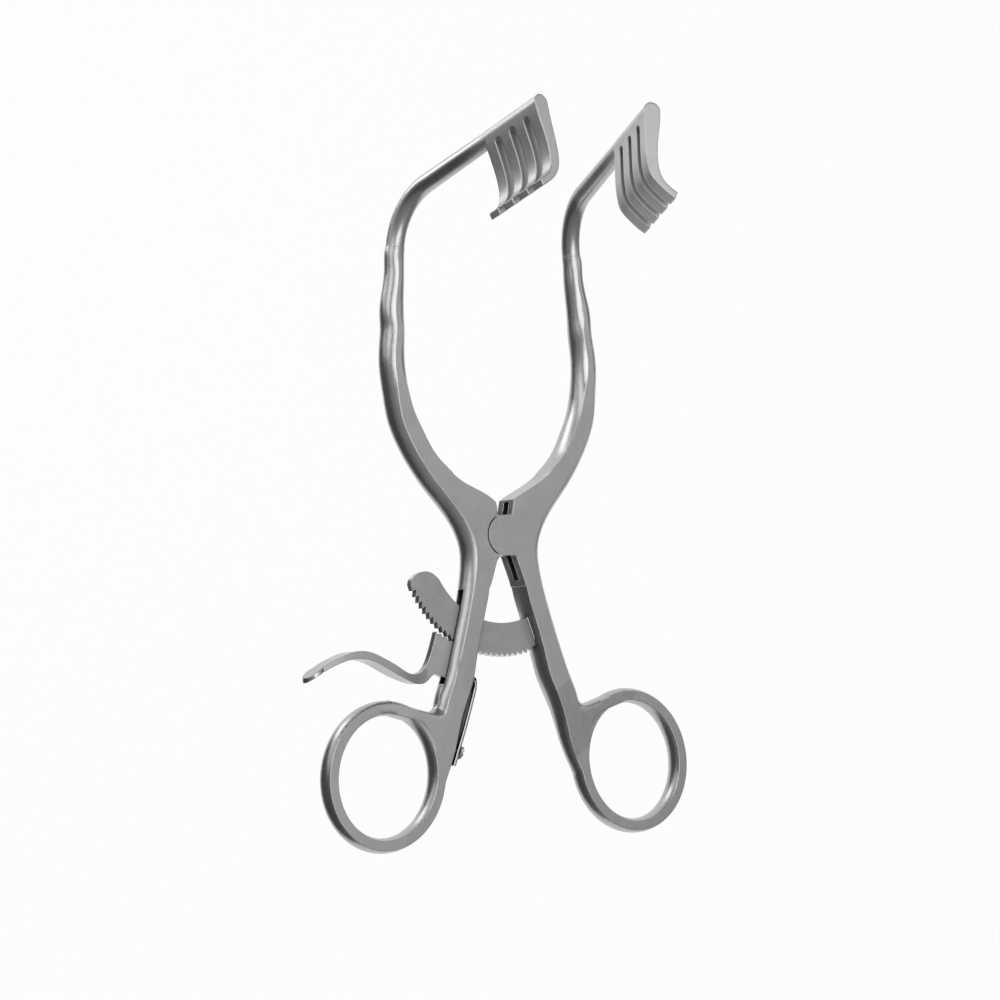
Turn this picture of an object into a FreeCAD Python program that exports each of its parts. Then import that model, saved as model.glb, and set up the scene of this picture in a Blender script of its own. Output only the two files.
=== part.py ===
import FreeCAD, Part
import math
import os

# A self retaining retractor lying on its back. The origin is on the joint axis, in the back face.
# +Y runs from the joint to the blades, +X to the right branch, +Z out of the front face. Millimetres.

# Forging and lap joint
THICKNESS = 6.5
MIDDLE = THICKNESS / 2
SLOT_GAP = 2.2
TONGUE_CLEARANCE = 0.03
DISC_RADIUS = 5.15
RECESS_GAP = 0.3
# Inner points that close the outlines of the joint blocks, inside each arm
BLOCK_CORE = ((8.5, -12.2), (8.5, -3.0), (9.0, 3.0), (14.0, 11.0))
TONGUE_RADIUS_GAP = 0.15
RIVET_RADIUS = 2.0
PIN_CLEARANCE = 0.03

# Finger rings
RING_X = 38.1
RING_Y = -58.3
RING_MINOR = 15.65
RING_MAJOR = 16.85
RING_TILT = 22.0
RING_FLAT = 2.25
RING_BULGE = 0.75
RING_THICKNESS = 4.6
RING_CORNER_RADIUS = 2.5
TAPER_HEADING = 36.9
TAPER_START = 40.0
TAPER_END = 57.0
FACE_STOCK = 0.12

# Upper bend, distal rod and claw blade
LEFT_BEND = (25.8, 82.8)
RIGHT_BEND = (26.9, 82.3)
BEND_RADIUS = 16.0
ROD_RADIUS = 2.35
ROD_FLAT = 0.7
ROD_STEP = 0.05
ROD_TIP_RADIUS = 2.1
RIDGE_X = 16.85
RIDGE_Y = 100.4
RIDGE_Z = 52.6
RIDGE_RADIUS = 2.2
END_SLOPE_X = 0.206
END_SLOPE_Y = -0.155
PRONGS = 4
PRONG_PITCH = 5.09
PRONG_GAP = 2.0
PRONG_SLOT_TOP = -1.7
PRONG_SLOT_REACH = 12.0
PRONG_SLOT_DEPTH = -30.0
ROD_INSET = 0.8

# Ratchet rack: angles are taken from straight below the joint axis, positive to the right
RACK_INNER = 21.9
RACK_ROOT = 29.3
TOOTH_DEPTH = 1.1
TOOTH_PITCH = 3.2
TOOTH_LEAN = 0.5
TEETH = 26
FIRST_TOOTH = -64.2
RACK_TENON = 28.0
RACK_THICKNESS = 1.6
RACK_PIN_RADIUS = 0.8
RACK_PIN_INSET = 2.8
RACK_PIN_RADII = (24.0, 27.6)
# Rounded free end: radius and angle
RACK_NOSE = ((21.9, -61.0), (22.6, -65.4), (23.7, -68.6), (25.4, -70.4),
             (27.3, -70.7), (29.1, -69.6), (30.2, -67.2))

# Release lever
LEVER_PIN_X = -15.2
LEVER_PIN_Y = -32.4
LEVER_PIN_RADIUS = 1.0
LEVER_THICKNESS = 1.8
MESH_ANGLE = 9.6
MESH_CLEARANCE = 0.06
TOOTH_CLEARANCE = 0.12
MESH_STEPS = 8
# Rack teeth that can meet the lever, and angles that close their outline behind them
MESH_TEETH = (2, 16)
MESH_BACK = (-10.0, -30.0, -60.0)
THUMB_WIDTH = 5.6

# Leaf spring and its screw
SPRING_THICKNESS = 0.8
SPRING_WIDTH = 3.0
SPRING_TIP_WIDTH = 1.6
SCREW_X = -15.95
SCREW_Y = -53.3
SCREW_HEAD_RADIUS = 1.9
SCREW_HEAD_HEIGHT = 1.1
SCREW_RADIUS = 0.9
SCREW_LENGTH = 4.2
SCREW_SLOT = 0.5
SCREW_CLEARANCE = 0.05

# Sections of one branch, right hand side, ground flat on both faces, from the ring to the arm:
# middle of the front flat x and y, heading from +Y towards +X in degrees, flat width,
# bulge of the inner and of the outer wall.
GROUND_STATIONS = (
    (RING_X - 15.0, RING_Y - 4.95, -18.7, 1.6, 0.8, 0.5),
    (RING_X - 17.05, RING_Y + 0.9, -18.7, 2.1, 0.85, 0.85),
    (RING_X - 19.2, RING_Y + 10.5, -20.0, 4.2, 0.9, 1.6),
    (RING_X - 21.8, RING_Y + 18.8, -17.0, 4.8, 0.8, 2.1),
    (12.8, -29.6, -16.5, 4.4, 0.7, 2.1),
    (10.1, -20.6, -16.5, 4.2, 0.4, 2.1),
    (7.8, -12.2, -13.0, 4.3, 0.15, 2.2),
    (6.9, -4.2, 0.0, 3.7, 0.1, 2.6),
    (7.6, -0.2, 18.0, 3.7, 0.1, 2.6),
    (10.8, 5.6, 40.0, 3.7, 0.1, 2.3),
    (16.6, 13.5, 46.0, 5.0, 0.3, 2.2),
    (20.5, 17.6, 40.0, 4.3, 0.6, 2.1),
    (24.0, 22.6, 31.0, 4.1, 0.9, 2.0),
    (27.0, 28.5, 20.0, 3.9, 1.2, 1.9),
    (28.5, 34.0, 9.0, 3.0, 1.5, 2.0),
)
# Sections of the rod above: x, y, heading, flat width, bulge of both walls, half thickness
ROD_STATIONS = (
    (29.5, 39.5, 2.0, 2.1, 2.2, 3.25),
    (29.6, 46.5, -3.0, 1.8, 2.25, 3.2),
    (29.1, 54.0, -5.0, 1.3, 2.4, 3.05),
    (28.4, 61.0, -6.0, 0.9, 2.3, 2.75),
)
# Last section below the bend: distance above the one before, bulge, half thickness
ROD_TOP = (6.6, 2.15, 2.52)

# Joint block of the right branch: inner edge of the arm down to the notch, then below the tab
RIGHT_INNER_TOP = ((14.6, 15.1), (10.7, 12.7), (6.8, 10.8), (3.3, 9.0))
RIGHT_NOTCH = (2.3, DISC_RADIUS)
RIGHT_INNER_LOW = ((2.9, -DISC_RADIUS), (3.7, -7.4), (4.6, -9.8), (5.55, -12.9))
# Joint block of the left branch, on its own side
LEFT_INNER_TOP = ((-14.6, 15.1), (-10.7, 12.7), (-6.6, 10.9), (-3.9, 9.4))
LEFT_TIP = ((-2.5, 8.3), (-2.2, 7.0))
LEFT_CROTCH = ((-2.3, -5.6), (-2.9, -6.3))
LEFT_INNER_LOW = ((-3.3, -7.2), (-4.3, -10.0), (-5.5, -12.9))
# Fork slot floor in the right branch, seen from the front
FORK_SLOT = ((-9.0, 8.4), (4.9, 8.4), (5.4, 4.0), (5.4, -5.0), (6.1, -11.3), (-9.0, -11.3))
# Slot through the left shank for the rack and the lever
SHANK_SLOT = ((-24.0, -12.0), (-13.0, -13.0), (-3.0, -17.2), (-3.0, -38.9), (-9.0, -38.4), (-24.0, -35.6))
# Web between the shank and the ring, from the ring's centre: middle of its top band, then its outline
WEB_BAND = ((-1.5, 16.8), (-7.1, 15.2), (-13.1, 13.5), (-19.6, 12.1))
WEB_FILL = ((-19.6, 12.3), (-13.1, 13.5), (-7.1, 15.2), (-1.5, 16.8), (-2.1, 6.3), (-15.6, 0.3), (-19.3, 8.3))

# Blade profiles about the ridge axis: outer side down to the tip, then inner side back up.
# The left claw is a little shorter than the right one.
RIGHT_CLAW = (
    ((1.75, -2.6), (0.55, -6.9), (-0.25, -10.9), (-0.4, -14.9), (0.15, -16.9), (1.5, -18.8), (3.5, -20.4)),
    ((2.7, -22.0), (0.7, -20.4), (-1.25, -18.4), (-2.75, -16.4), (-3.35, -13.7), (-3.25, -9.7), (-2.6, -4.4)),
)
LEFT_CLAW = (
    ((1.75, -2.6), (0.55, -6.9), (-0.25, -10.7), (-0.3, -14.3), (0.3, -16.1), (1.8, -17.7), (4.2, -18.9)),
    ((3.6, -20.5), (1.2, -19.4), (-1.0, -17.9), (-2.65, -15.9), (-3.35, -13.3), (-3.25, -9.6), (-2.6, -4.4)),
)

# Lever plate and thumb strip, in the position with the teeth just clear of the rack
PLATE_EDGE = ((-18.9, -18.8), (-20.5, -22.4), (-21.4, -25.0), (-22.8, -28.6), (-23.8, -30.7), (-25.6, -33.0))
PLATE_LOWER = ((-25.4, -35.4), (-23.6, -34.9), (-21.9, -33.6), (-20.2, -34.4), (-16.0, -36.4), (-12.4, -37.1))
PLATE_TAIL = ((-10.9, -36.7), (-10.9, -35.3), (-12.0, -33.0), (-12.6, -30.0), (-14.6, -25.0), (-14.6, -20.0))
THUMB_TOP = ((-22.4, -31.4), (-25.6, -33.0), (-28.6, -33.7), (-31.2, -33.1), (-34.8, -31.1),
             (-38.0, -29.5), (-41.4, -28.0), (-45.5, -27.5), (-49.8, -28.5), (-53.5, -29.9),
             (-57.4, -32.0), (-62.0, -34.9))
THUMB_BOTTOM = ((-61.0, -35.8), (-57.6, -33.2), (-54.3, -31.6), (-51.0, -30.3), (-47.9, -29.5),
                (-44.6, -29.4), (-41.5, -30.0), (-38.3, -31.4), (-35.0, -33.2), (-31.6, -34.8),
                (-28.2, -36.0), (-25.9, -36.1), (-23.6, -34.9))
# Plan of the thumb strip: x and half width
THUMB_PLAN = ((-20.0, 0.9), (-25.0, 1.0), (-28.5, 1.7), (-32.5, 2.5), (-38.0, THUMB_WIDTH / 2),
              (-50.0, THUMB_WIDTH / 2), (-55.6, 2.4))
THUMB_TIP_X = -59.7
# The plan is raised through the strip from the first y to the second
THUMB_PLAN_Y = (-60.0, -10.0)

# Outer face of the leaf spring, from the screw end to the tip that bears on the lever
SPRING_ROUTE = ((-17.4, -56.8), (-15.95, -53.3), (-13.75, -48.2), (-11.75, -43.1),
                (-10.1, -38.6), (-9.3, -36.2))
SPRING_TIP = ((-9.5, -35.2), (-10.2, -34.9), (-10.75, -35.6))
SPRING_STEPS = 24
SPRING_HOOK_STEPS = 6
# Corner, length and height of the blocks that narrow the leaf's tip
TIP_CUT = (-16.0, -37.2)
TIP_CUT_LENGTH = 8.0
TIP_CUT_HEIGHT = 4.0


def vec(point, z=0.0):
    return FreeCAD.Vector(point[0], point[1], z)


def mirrored(shape):
    return shape.mirror(FreeCAD.Vector(0, 0, 0), FreeCAD.Vector(1, 0, 0))


def prism(points, bottom, top):
    """Closed outline of straight edges, raised from bottom to top."""
    wire = Part.makePolygon([vec(p, bottom) for p in points + points[:1]])
    return Part.Face(wire).extrude(FreeCAD.Vector(0, 0, top - bottom))


def curve(points, z=0.0):
    spline = Part.BSplineCurve()
    spline.interpolate([vec(p, z) for p in points])
    return spline.toShape()


def line(start, end, z=0.0):
    return Part.makeLine(vec(start, z), vec(end, z))


def raised(edges, height):
    face = Part.Face(Part.Wire(Part.__sortEdges__(edges)))
    return face.extrude(FreeCAD.Vector(0, 0, height))


def pin(x, y, radius, bottom=0.0, top=THICKNESS):
    return Part.makeCylinder(radius, top - bottom, FreeCAD.Vector(x, y, bottom))


def barrel_section(centre, side, up, flat, bulge_in, bulge_out, half):
    """Section with two flats joined by bulging walls; side points to the outer wall."""
    edge = side * (flat / 2)
    rise = up * half
    front_in, front_out = centre - edge + rise, centre + edge + rise
    back_in, back_out = centre - edge - rise, centre + edge - rise
    wall_out = centre + side * (flat / 2 + bulge_out)
    wall_in = centre - side * (flat / 2 + bulge_in)
    return Part.Wire([
        Part.makeLine(front_in, front_out),
        Part.Arc(front_out, wall_out, back_out).toShape(),
        Part.makeLine(back_out, back_in),
        Part.Arc(back_in, wall_in, front_in).toShape(),
    ])


def flat_section(x, y, heading, flat, bulge_in, bulge_out, half):
    angle = math.radians(heading)
    side = FreeCAD.Vector(math.cos(angle), -math.sin(angle), 0)
    return barrel_section(FreeCAD.Vector(x, y, MIDDLE), side, FreeCAD.Vector(0, 0, 1),
                          flat, bulge_in, bulge_out, half)


def ground_section(x, y, heading, flat, bulge_in, bulge_out):
    """Section that stands a little proud of the ground faces, so that they cut it flat."""
    return flat_section(x, y, heading, flat, bulge_in, bulge_out, face_half(x, y) + FACE_STOCK)


def blade_length():
    return PRONGS * PRONG_PITCH - PRONG_GAP


class UpperRod:
    """Bend and distal rod of one branch, about the corner where their straight lines meet."""

    def __init__(self, corner):
        foot = FreeCAD.Vector(ROD_STATIONS[-1][0], ROD_STATIONS[-1][1], MIDDLE)
        self.corner = FreeCAD.Vector(corner[0], corner[1], MIDDLE)
        self.ridge_end = FreeCAD.Vector(RIDGE_X, RIDGE_Y, RIDGE_Z)
        self.along = (self.corner - foot).normalize()
        self.ridge = (self.ridge_end - self.corner).normalize()
        self.turn = self.along.getAngle(self.ridge)
        reach = BEND_RADIUS * math.tan(self.turn / 2)
        self.bend_start = self.corner - self.along * reach
        self.bend_end = self.corner + self.ridge * reach
        self.top_station = foot + self.along * ROD_TOP[0]

    def section(self, point, flat, bulge, half):
        heading = math.degrees(math.atan2(self.along.x, self.along.y))
        return flat_section(point.x, point.y, heading, flat, bulge, bulge, half)

    def sections(self):
        """The two sections below the bend, the upper one a touch wider than the bent rod."""
        end = ROD_RADIUS + ROD_STEP
        return [self.section(self.top_station, ROD_FLAT, ROD_TOP[1], ROD_TOP[2]),
                self.section(self.bend_start, ROD_FLAT, end - ROD_FLAT / 2, end)]

    def solid(self):
        axis = self.along.cross(self.ridge).normalize()
        centre = self.bend_start + axis.cross(self.along) * BEND_RADIUS
        disc = Part.Face(Part.Wire(Part.makeCircle(ROD_RADIUS, self.bend_start, self.along)))
        bend = disc.revolve(centre, axis, math.degrees(self.turn))
        reach = self.ridge_end.sub(self.bend_end).Length - blade_length() + ROD_INSET
        rod = Part.makeCone(ROD_RADIUS, ROD_TIP_RADIUS, reach, self.bend_end, self.ridge)
        return bend.fuse(rod)


def flat_arm_and_shank(rod):
    """Shank, joint side and arm in one smooth body, up to the start of the bend."""
    sections = [ground_section(*station) for station in GROUND_STATIONS]
    for x, y, heading, flat, bulge, half in ROD_STATIONS:
        sections.append(flat_section(x, y, heading, flat, bulge, bulge, half))
    return Part.makeLoft(sections + rod.sections(), True, False)


def on_end_face(point):
    """A profile point about the ridge axis, on the slanted end face of the blade."""
    out, down = point
    rise = END_SLOPE_X * out + END_SLOPE_Y * down
    return FreeCAD.Vector(RIDGE_X + out, RIDGE_Y + down, RIDGE_Z + rise)


def blade(claw, ridge):
    """Claw plate hanging from the ridge, cut into prongs."""
    outside, inside = claw
    outer_top, apex, inner_top = (RIDGE_RADIUS, 0.0), (0.0, RIDGE_RADIUS), (-RIDGE_RADIUS, 0.0)
    outer = Part.BSplineCurve()
    outer.interpolate([on_end_face(p) for p in (outer_top,) + outside])
    inner = Part.BSplineCurve()
    inner.interpolate([on_end_face(p) for p in inside + (inner_top,)])
    tip = Part.makeLine(on_end_face(outside[-1]), on_end_face(inside[0]))
    top = Part.Arc(on_end_face(inner_top), on_end_face(apex), on_end_face(outer_top)).toShape()
    profile = Part.Face(Part.Wire([outer.toShape(), tip, inner.toShape(), top]))
    body = profile.extrude(ridge * -blade_length())
    for gap in range(1, PRONGS):
        body = body.cut(prong_slot(gap * PRONG_PITCH, ridge))
    return body


def prong_slot(offset, ridge):
    """Round-topped slot; offset is from the end face to the slot's far side."""
    reach, depth = PRONG_SLOT_REACH, PRONG_SLOT_DEPTH
    radius = PRONG_GAP / 2
    low = PRONG_SLOT_TOP - radius
    corners = [(-reach, low), (reach, low), (reach, depth), (-reach, depth)]
    wire = Part.makePolygon([on_end_face(p) for p in corners + corners[:1]])
    slot = Part.Face(wire).extrude(ridge * PRONG_GAP)
    across = (on_end_face((reach, low)) - on_end_face((-reach, low))).normalize()
    centre = on_end_face((0.0, low)) + ridge * radius
    top = Part.makeCylinder(radius * 0.98, 2 * reach, centre - across * reach, across)
    slot = slot.fuse(top)
    slot.translate(ridge * -offset)
    return slot


def ring_ellipse():
    return Part.Wire(Part.Ellipse(FreeCAD.Vector(0, 0, 0), RING_MAJOR, RING_MINOR).toShape())


def placed_on_ring(shape, height):
    shape.rotate(FreeCAD.Vector(0, 0, 0), FreeCAD.Vector(0, 0, 1), 90 + RING_TILT)
    shape.translate(FreeCAD.Vector(RING_X, RING_Y, height))
    return shape


def finger_ring():
    side = FreeCAD.Vector(1, 0, 0)
    section = barrel_section(FreeCAD.Vector(RING_MAJOR, 0, 0), side, FreeCAD.Vector(0, 0, 1),
                             RING_FLAT, RING_BULGE, RING_BULGE, RING_THICKNESS / 2 + FACE_STOCK)
    return placed_on_ring(ring_ellipse().makePipeShell([section], True, True), MIDDLE)


def ring_web():
    """Flat web between shank and ring, with a rounded band along its top edge."""
    middle = from_ring(WEB_BAND)
    sections = []
    for index, point in enumerate(middle):
        before = middle[max(index - 1, 0)]
        after = middle[min(index + 1, len(middle) - 1)]
        heading = math.degrees(math.atan2(after[0] - before[0], after[1] - before[1]))
        sections.append(ground_section(point[0], point[1], heading, RING_FLAT, RING_BULGE, RING_BULGE))
    band = Part.makeLoft(sections, True, False)
    hole = Part.Face(ring_ellipse()).extrude(FreeCAD.Vector(0, 0, THICKNESS))
    return [band, prism(from_ring(WEB_FILL), 0.0, THICKNESS).cut(placed_on_ring(hole, 0.0))]


def from_ring(points):
    return tuple((RING_X + x, RING_Y + y) for x, y in points)


def taper_distance(x, y):
    angle = math.radians(TAPER_HEADING)
    return x * math.sin(angle) - y * math.cos(angle)


def face_half(x, y):
    """Half thickness between the ground faces: full at the joint, less at the rings."""
    share = (TAPER_END - taper_distance(x, y)) / (TAPER_END - TAPER_START)
    share = min(1.0, max(0.0, share))
    return (RING_THICKNESS + (THICKNESS - RING_THICKNESS) * share) / 2


def ground_faces():
    """Space between the ground front and back faces of a right hand branch."""
    reach = 200.0
    full, thin = THICKNESS / 2, RING_THICKNESS / 2
    side = ((reach, full), (-TAPER_START, full), (-TAPER_END, thin), (-reach, thin))
    profile = [FreeCAD.Vector(-reach, y, MIDDLE + half) for y, half in side]
    profile += [FreeCAD.Vector(-reach, y, MIDDLE - half) for y, half in side[::-1]]
    body = Part.Face(Part.makePolygon(profile + profile[:1])).extrude(FreeCAD.Vector(2 * reach, 0, 0))
    body.rotate(FreeCAD.Vector(0, 0, 0), FreeCAD.Vector(0, 0, 1), TAPER_HEADING)
    return body


def rounded_ring_corner(body):
    """Round the hollow corner where the ring's top edge leaves the shank."""
    x, y = from_ring(WEB_BAND[2:3])[0]
    corner = FreeCAD.Vector(x, y, MIDDLE)
    upright = [edge for edge in body.Edges
               if abs(edge.CenterOfMass.z - MIDDLE) < 0.3 and edge.BoundBox.ZLength > RING_THICKNESS / 2]
    edge = min(upright, key=lambda item: item.CenterOfMass.sub(corner).Length)
    return body.makeFillet(RING_CORNER_RADIUS, [edge])


def half_forging(claw, bend):
    """One branch on the right side, without its joint."""
    rod = UpperRod(bend)
    body = flat_arm_and_shank(rod).fuse([finger_ring()] + ring_web())
    body = rounded_ring_corner(body.common(ground_faces()))
    return body.fuse([rod.solid(), blade(claw, rod.ridge)])


def right_branch():
    top, low = RIGHT_INNER_TOP, RIGHT_INNER_LOW
    edges = [curve(top), line(top[-1], RIGHT_NOTCH), line(RIGHT_NOTCH, (0.0, DISC_RADIUS))]
    disc = Part.Arc(vec((0.0, DISC_RADIUS)), vec((-DISC_RADIUS, 0.0)), vec((0.0, -DISC_RADIUS)))
    edges.append(disc.toShape())
    edges += [line((0.0, -DISC_RADIUS), low[0]), curve(low)]
    loop = (low[-1],) + BLOCK_CORE + (top[0],)
    edges += [line(a, b) for a, b in zip(loop[:-1], loop[1:])]
    body = half_forging(RIGHT_CLAW, RIGHT_BEND).fuse(raised(edges, THICKNESS))
    ear = (THICKNESS - SLOT_GAP) / 2
    body = body.cut(prism(FORK_SLOT, ear, ear + SLOT_GAP))
    body = body.cut([pin(0, 0, RIVET_RADIUS), ratchet_rack()] + rack_pins())
    return body.removeSplitter()


def left_branch():
    tip = LEFT_TIP
    recess = DISC_RADIUS + RECESS_GAP
    inside = tuple((-x, y) for x, y in BLOCK_CORE)
    edges = [curve(LEFT_INNER_TOP + tip[:1]), line(tip[0], tip[1]), line(tip[1], LEFT_CROTCH[0])]
    edges += [line(LEFT_CROTCH[0], LEFT_CROTCH[1]), line(LEFT_CROTCH[1], LEFT_INNER_LOW[0])]
    edges.append(curve(LEFT_INNER_LOW))
    loop = (LEFT_INNER_LOW[-1],) + inside + (LEFT_INNER_TOP[0],)
    edges += [line(a, b) for a, b in zip(loop[:-1], loop[1:])]
    body = mirrored(half_forging(LEFT_CLAW, LEFT_BEND)).fuse(raised(edges, THICKNESS))
    ear = (THICKNESS - SLOT_GAP) / 2
    bottom, top = ear + TONGUE_CLEARANCE, THICKNESS - ear - TONGUE_CLEARANCE
    body = body.cut([pin(0, 0, recess, -1.0, bottom), pin(0, 0, recess, top, THICKNESS + 1.0)])
    body = body.fuse(pin(0, 0, DISC_RADIUS - TONGUE_RADIUS_GAP, bottom, top))
    body = body.cut([pin(0, 0, RIVET_RADIUS + PIN_CLEARANCE), prism(SHANK_SLOT, ear, ear + SLOT_GAP)])
    body = body.cut([lever_pin(), screw_shank(SCREW_RADIUS)])
    return body.removeSplitter()


def tooth_outline(clearance, first, last):
    """Saw teeth round the joint axis, as points from tooth first to tooth last."""
    points = []
    for tooth in range(first, last + 1):
        angle = FIRST_TOOTH + tooth * TOOTH_PITCH
        for radius, turn in ((RACK_ROOT + TOOTH_DEPTH, 0.0), (RACK_ROOT, TOOTH_LEAN)):
            theta = math.radians(angle + turn)
            radius = radius + clearance
            points.append((radius * math.sin(theta), -radius * math.cos(theta)))
    return points


def rack_point(radius, angle):
    theta = math.radians(angle)
    return (radius * math.sin(theta), -radius * math.cos(theta))


def rack_arc(radius, start, end, z):
    middle = (start + end) / 2
    return Part.Arc(vec(rack_point(radius, start), z), vec(rack_point(radius, middle), z),
                    vec(rack_point(radius, end), z)).toShape()


def ratchet_rack():
    bottom = MIDDLE - RACK_THICKNESS / 2
    teeth = tooth_outline(0.0, 0, TEETH - 1)
    last = FIRST_TOOTH + (TEETH - 1) * TOOTH_PITCH + TOOTH_LEAN
    nose = [rack_point(radius, angle) for radius, angle in RACK_NOSE]
    edges = [line(a, b, bottom) for a, b in zip(teeth[:-1], teeth[1:])]
    edges.append(rack_arc(RACK_ROOT, last, RACK_TENON, bottom))
    edges.append(line(rack_point(RACK_ROOT, RACK_TENON), rack_point(RACK_INNER, RACK_TENON), bottom))
    edges.append(rack_arc(RACK_INNER, RACK_TENON, RACK_NOSE[0][1], bottom))
    edges.append(curve(nose, bottom))
    edges.append(line(nose[-1], teeth[0], bottom))
    return raised(edges, RACK_THICKNESS)


def rack_pins():
    angle = RACK_TENON - RACK_PIN_INSET
    return [pin(*rack_point(radius, angle), RACK_PIN_RADIUS) for radius in RACK_PIN_RADII]


def drilled_rack():
    return ratchet_rack().cut(rack_pins())


def rack_envelope():
    """Space taken by the rack's teeth when the lever is in mesh with them."""
    inner = tuple(rack_point(RACK_INNER, angle) for angle in MESH_BACK)
    teeth = tuple(tooth_outline(MESH_CLEARANCE, *MESH_TEETH))
    return prism(teeth + inner, 0.0, THICKNESS)


def lever_pin():
    return pin(LEVER_PIN_X, LEVER_PIN_Y, LEVER_PIN_RADIUS)


def release_lever():
    """Toothed plate in the slot of the left shank, and a thumb strip across it."""
    half = LEVER_THICKNESS / 2
    edges = [curve(PLATE_EDGE), line(PLATE_EDGE[-1], PLATE_LOWER[0])]
    edges += [line(a, b) for a, b in zip(PLATE_LOWER[:-1], PLATE_LOWER[1:])]
    loop = PLATE_LOWER[-1:] + PLATE_TAIL + PLATE_EDGE[:1]
    edges += [line(a, b) for a, b in zip(loop[:-1], loop[1:])]
    plate = raised(edges, LEVER_THICKNESS)
    plate.translate(FreeCAD.Vector(0, 0, MIDDLE - half))
    plate = plate.cut(pin(0, 0, RACK_ROOT + TOOTH_DEPTH + TOOTH_CLEARANCE))
    plate = plate.cut([swung_envelope(MESH_ANGLE * step / MESH_STEPS) for step in range(1, MESH_STEPS + 1)])
    plate = max(plate.Solids, key=lambda solid: solid.Volume)
    lever = plate.fuse(thumb_strip())
    return lever.cut(pin(LEVER_PIN_X, LEVER_PIN_Y, LEVER_PIN_RADIUS + PIN_CLEARANCE)).removeSplitter()


def swung_envelope(angle):
    teeth = rack_envelope()
    teeth.rotate(FreeCAD.Vector(LEVER_PIN_X, LEVER_PIN_Y, 0), FreeCAD.Vector(0, 0, 1), angle)
    return teeth


def thumb_strip():
    reach = THUMB_WIDTH
    edges = [curve(THUMB_TOP), line(THUMB_TOP[-1], THUMB_BOTTOM[0]), curve(THUMB_BOTTOM)]
    edges.append(line(THUMB_BOTTOM[-1], THUMB_TOP[0]))
    strip = raised(edges, 2 * reach)
    strip.translate(FreeCAD.Vector(0, 0, MIDDLE - reach))
    low, high = THUMB_PLAN_Y
    side = [FreeCAD.Vector(x, low, MIDDLE + half) for x, half in THUMB_PLAN]
    other = [FreeCAD.Vector(x, low, MIDDLE - half) for x, half in THUMB_PLAN]
    tip = Part.Arc(side[-1], FreeCAD.Vector(THUMB_TIP_X, low, MIDDLE), other[-1]).toShape()
    upper, lower = Part.BSplineCurve(), Part.BSplineCurve()
    upper.interpolate(side)
    lower.interpolate(other)
    root = Part.makeLine(other[0], side[0])
    plan = Part.Face(Part.Wire(Part.__sortEdges__([upper.toShape(), tip, lower.toShape(), root])))
    return strip.common(plan.extrude(FreeCAD.Vector(0, high - low, 0)))


def spring_normal():
    """Direction out of the inner wall of the left shank at the screw."""
    (x0, y0), (x1, y1) = SPRING_ROUTE[0], SPRING_ROUTE[2]
    along = FreeCAD.Vector(x1 - x0, y1 - y0, 0).normalize()
    return FreeCAD.Vector(along.y, -along.x, 0)


def leaf_spring():
    """Thin leaf from the screw to the lever's tail, its tip bent into the slot."""
    outer = SPRING_ROUTE + SPRING_TIP[:2]
    spline = Part.BSplineCurve()
    spline.interpolate([vec(p) for p in outer])
    face_side, back_side = [], []
    for step in range(SPRING_STEPS + 1):
        at = spline.FirstParameter + (spline.LastParameter - spline.FirstParameter) * step / SPRING_STEPS
        point = spline.value(at)
        tangent = FreeCAD.Vector(*spline.tangent(at)[0])
        left = FreeCAD.Vector(-tangent.y, tangent.x, 0).normalize()
        face_side.append((point.x, point.y))
        back_side.append((point.x + left.x * SPRING_THICKNESS, point.y + left.y * SPRING_THICKNESS))
    back_side = back_side[:-SPRING_HOOK_STEPS]
    edges = [curve(face_side), line(face_side[-1], SPRING_TIP[2]), line(SPRING_TIP[2], back_side[-1])]
    edges += [curve(back_side), line(back_side[0], face_side[0])]
    leaf = raised(edges, SPRING_WIDTH)
    leaf.translate(FreeCAD.Vector(0, 0, MIDDLE - SPRING_WIDTH / 2))
    for z in (MIDDLE + SPRING_TIP_WIDTH / 2, MIDDLE - SPRING_TIP_WIDTH / 2 - SPRING_WIDTH):
        corner = Part.makeBox(TIP_CUT_LENGTH, TIP_CUT_HEIGHT, SPRING_WIDTH, vec(TIP_CUT, z))
        leaf = leaf.cut(corner)
    return leaf.cut(screw_shank(SCREW_RADIUS + SCREW_CLEARANCE))


def screw_shank(radius):
    into = spring_normal() * -1
    start = FreeCAD.Vector(SCREW_X, SCREW_Y, MIDDLE) - into * SCREW_CLEARANCE
    return Part.makeCylinder(radius, SCREW_LENGTH, start, into)


def spring_screw():
    out = spring_normal()
    seat = FreeCAD.Vector(SCREW_X, SCREW_Y, MIDDLE) + out * SCREW_CLEARANCE
    head = Part.makeCylinder(SCREW_HEAD_RADIUS, SCREW_HEAD_HEIGHT, seat, out)
    rim = [edge for edge in head.Edges if edge.CenterOfMass.sub(seat).dot(out) > SCREW_HEAD_HEIGHT / 2
           and len(edge.Vertexes) == 1]
    head = head.makeFillet(SCREW_HEAD_HEIGHT * 0.4, rim)
    body = head.fuse(screw_shank(SCREW_RADIUS))
    groove = Part.makeBox(2 * SCREW_HEAD_HEIGHT, SCREW_SLOT, 4 * SCREW_HEAD_RADIUS)
    groove.translate(FreeCAD.Vector(-SCREW_HEAD_HEIGHT, -SCREW_SLOT / 2, -2 * SCREW_HEAD_RADIUS))
    groove.rotate(FreeCAD.Vector(0, 0, 0), FreeCAD.Vector(0, 0, 1), math.degrees(math.atan2(out.y, out.x)))
    groove.translate(seat + out * (SCREW_HEAD_HEIGHT * 1.5))
    return body.cut(groove)


def build():
    return {
        "left_branch": left_branch(),
        "right_branch": right_branch(),
        "joint_rivet": pin(0, 0, RIVET_RADIUS),
        "ratchet_rack": drilled_rack(),
        "rack_pins": Part.makeCompound(rack_pins()),
        "release_lever": release_lever(),
        "lever_pin": lever_pin(),
        "leaf_spring": leaf_spring(),
        "spring_screw": spring_screw(),
    }


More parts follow.
